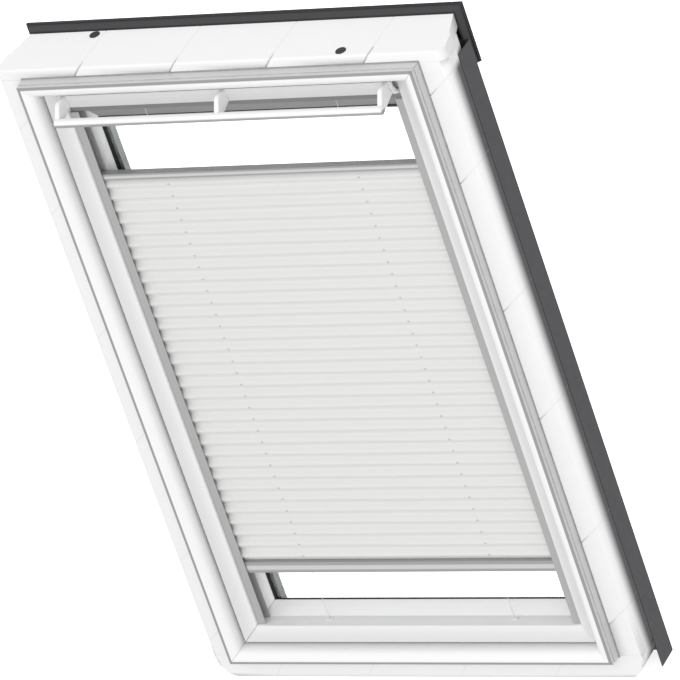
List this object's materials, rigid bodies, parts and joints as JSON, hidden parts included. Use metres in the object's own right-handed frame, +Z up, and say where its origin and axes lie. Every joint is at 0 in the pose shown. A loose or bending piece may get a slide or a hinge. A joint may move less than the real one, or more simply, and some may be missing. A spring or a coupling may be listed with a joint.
{
  "type": "skylight window blind",
  "caption": "Centre-pivot skylight window in its insulating collar, with a control bar and a pleated blind that slides between aluminium side channels on taut cords.",
  "frame": {"origin": "middle of the exposed outer strip of the frame sill, on its lower face", "axes": "+Z up along the slope of the roof, from the sill to the head; +Y outward, away from the room; X across the window"},
  "size_m": [0.8378, 0.1736, 1.2773],
  "materials": {
    "white_plastic": "smooth white plastic, softly glossy",
    "foam": "fine-grained white insulating foam",
    "black_plastic": "matt black moulded plastic",
    "grey_plastic": "matt grey moulded plastic",
    "dark_metal": "dark grey powder coat on bent sheet",
    "black_rubber": "matt black seal",
    "glass": "clear float glass",
    "spacer": "plain mill finish",
    "white_aluminium": "white coated extrusion",
    "steel": "zinc plated",
    "cloth": "white pleated cloth, translucent",
    "cord": "thin braided cord"
  },
  "bodies": {
    "frame": {"frame_head": "white_plastic", "frame_sill": "white_plastic", "frame_jamb_left": "white_plastic", "frame_jamb_right": "white_plastic", "collar_head": "foam", "collar_sill": "foam", "collar_left": "foam", "collar_right": "foam", "collar_plug_left": "black_plastic", "collar_plug_right": "black_plastic", "hood": "dark_metal", "hood_carrier": "grey_plastic", "side_cover_left": "dark_metal", "side_cover_right": "dark_metal", "sill_cover": "dark_metal", "frame_seal": "black_rubber", "pivot_bush_left": "grey_plastic", "pivot_bush_right": "grey_plastic", "strike_plate": "steel"},
    "sash": {"sash_head": "white_plastic", "sash_bottom": "white_plastic", "sash_stile_left": "white_plastic", "sash_stile_right": "white_plastic", "pivot_pin_left": "steel", "pivot_pin_right": "steel", "lock_case": "steel", "inner_pane": "glass", "outer_pane": "glass", "spacer_bar": "spacer", "glazing_gasket": "black_rubber", "sash_cover_head": "dark_metal", "sash_cover_bottom": "dark_metal", "sash_cover_left": "dark_metal", "sash_cover_right": "dark_metal", "blind_channel_left": "white_aluminium", "blind_channel_right": "white_aluminium", "cord_anchor_left_lower": "white_plastic", "cord_anchor_left_upper": "white_plastic", "cord_anchor_right_lower": "white_plastic", "cord_anchor_right_upper": "white_plastic", "tension_cord_left": "cord", "tension_cord_right": "cord"},
    "vent_flap": {"vent_flap": "white_plastic", "flap_pin_left": "steel", "flap_pin_right": "steel", "bar_bracket_left": "white_plastic", "bar_bracket_middle": "white_plastic", "bar_bracket_right": "white_plastic", "control_bar": "white_plastic"},
    "top_rail": {"top_rail": "white_aluminium", "top_slider_left": "grey_plastic", "top_slider_right": "grey_plastic", "pleated_cloth": "cloth"},
    "bottom_rail": {"bottom_rail": "white_aluminium", "bottom_slider_left": "grey_plastic", "bottom_slider_right": "grey_plastic"}
  },
  "joints": [
    {"name": "sash_pivot", "type": "hinge", "parent": "frame", "child": "sash", "pos_m": [0, 0.04905, 0.59], "axis": [1, 0, 0], "range_deg": [0, 160]},
    {"name": "control_bar_hinge", "type": "hinge", "parent": "sash", "child": "vent_flap", "pos_m": [0, 0.02305, 1.12], "axis": [1, 0, 0], "range_deg": [0, 50]},
    {"name": "top_rail_slide", "type": "slide", "parent": "sash", "child": "top_rail", "axis": [0, 0, 1], "range_m": [-0.1, 0.11]},
    {"name": "bottom_rail_slide", "type": "slide", "parent": "top_rail", "child": "bottom_rail", "axis": [0, 0, 1], "range_m": [0, 0.7], "deforming": ["pleated_cloth"]}
  ]
}
